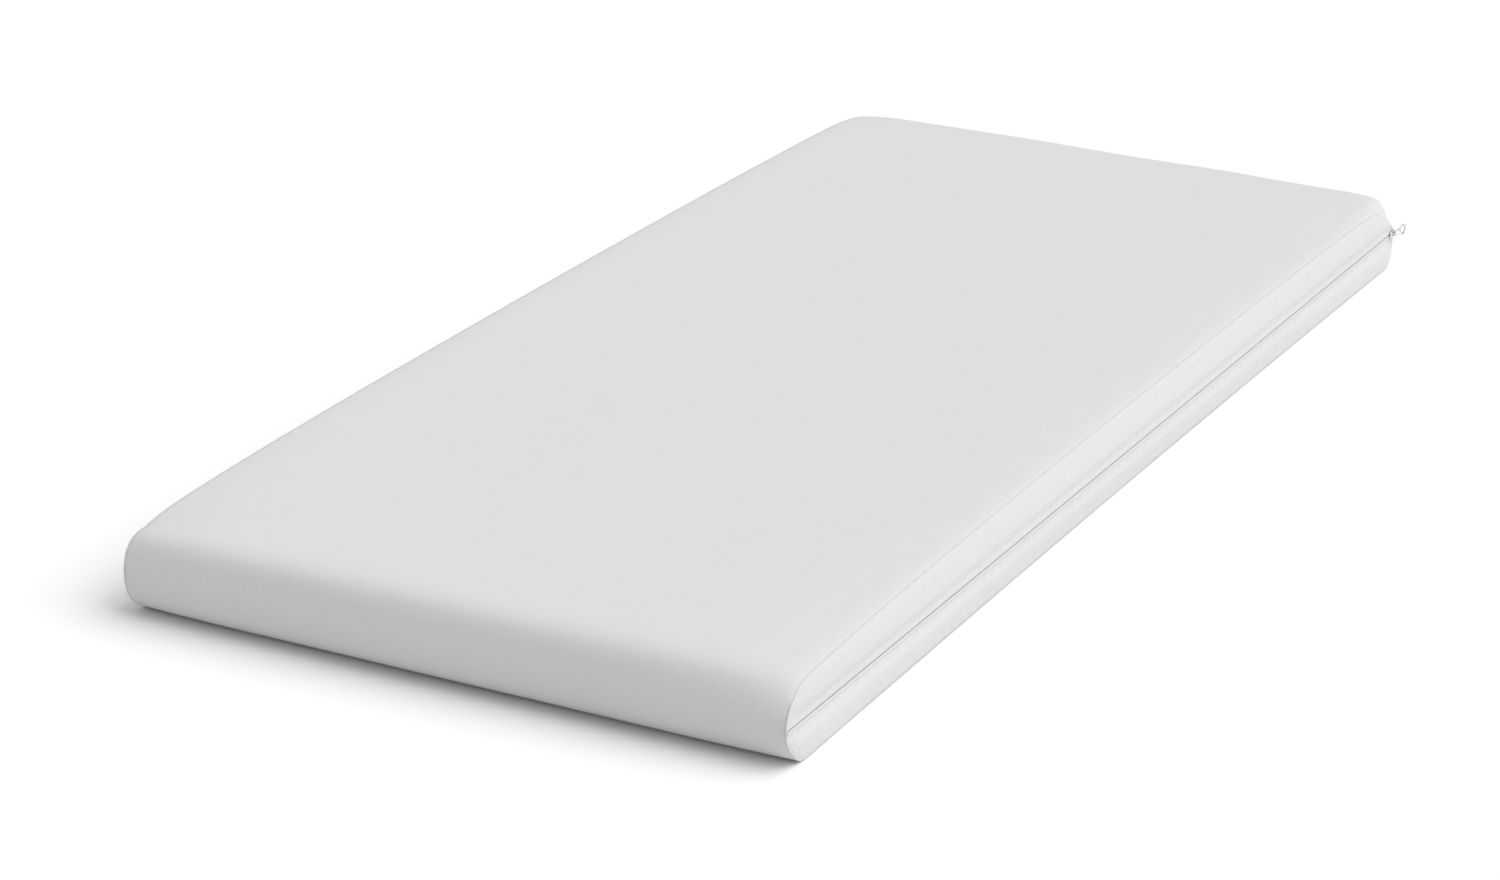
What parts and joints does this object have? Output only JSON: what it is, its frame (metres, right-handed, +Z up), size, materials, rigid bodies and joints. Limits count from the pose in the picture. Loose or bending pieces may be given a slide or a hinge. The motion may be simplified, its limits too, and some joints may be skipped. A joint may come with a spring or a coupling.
{
  "type": "foam mattress",
  "caption": "Thin memory foam mattress with rounded ends in a zipped woven cover; the zip slider runs along one long side and its ring pull swings.",
  "frame": {"origin": "middle of the underside, where the mattress rests", "axes": "+Z up out of the sleeping surface, +Y along the length towards the end where the zip is closed, +X towards the zipped long side"},
  "size_m": [0.7094, 1.6219, 0.09],
  "materials": {
    "cover_fabric": "matte fine plain weave",
    "memory_foam": "matte fine open cell foam",
    "base_foam": "matte open cell foam",
    "liner_knit": "matte stretch knit",
    "zip_tape": "woven tape",
    "zip_coil": "nylon coil",
    "zip_metal": "plated die-cast zinc"
  },
  "bodies": {
    "mattress": {"foam_base": "base_foam", "foam_comfort": "memory_foam", "inner_liner": "liner_knit", "cover_wrap": "cover_fabric", "side_panel_left": "cover_fabric", "side_panel_right_upper": "cover_fabric", "side_panel_right_lower": "cover_fabric", "seam_ridge_left": "cover_fabric", "seam_ridge_right": "cover_fabric", "zip_tape_upper": "zip_tape", "zip_tape_lower": "zip_tape", "zip_coil_upper": "zip_coil", "zip_coil_lower": "zip_coil", "zip_tack_front": "zip_tape", "zip_tack_rear": "zip_tape"},
    "slider": {"zip_slider": "zip_metal"},
    "pull": {"zip_pull": "zip_metal"}
  },
  "joints": [
    {"name": "zip_slide", "type": "slide", "parent": "mattress", "child": "slider", "axis": [0, 1, 0], "range_m": [-1.5812, 0]},
    {"name": "pull_hinge", "type": "hinge", "parent": "slider", "child": "pull", "pos_m": [0.3537, 0.7936, 0.042], "axis": [0, 0, -1], "range_deg": [-8, 172]}
  ]
}
